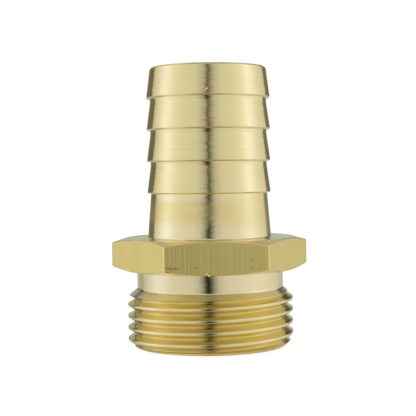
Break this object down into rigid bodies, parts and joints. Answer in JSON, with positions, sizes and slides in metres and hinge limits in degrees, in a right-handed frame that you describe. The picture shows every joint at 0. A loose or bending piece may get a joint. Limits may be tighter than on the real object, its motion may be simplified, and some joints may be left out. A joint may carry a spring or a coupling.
{
  "type": "hose barb tail",
  "caption": "Straight brass hose tail with a barbed hose spigot, a spanner hexagon, a plain neck and a male parallel pipe thread on a through bore.",
  "frame": {"origin": "centre of the threaded end face, which stands on the ground plane", "axes": "+Z along the bore from the threaded end up to the hose spigot; two corners of the hexagon lie on the X axis and two flats face +Y and -Y"},
  "size_m": [0.031, 0.027, 0.044],
  "materials": {
    "brass": "bright turned brass with fine turning lines, drawn flats on the hexagon"
  },
  "bodies": {
    "root": {"hose_tail": "brass"}
  },
  "joints": []
}
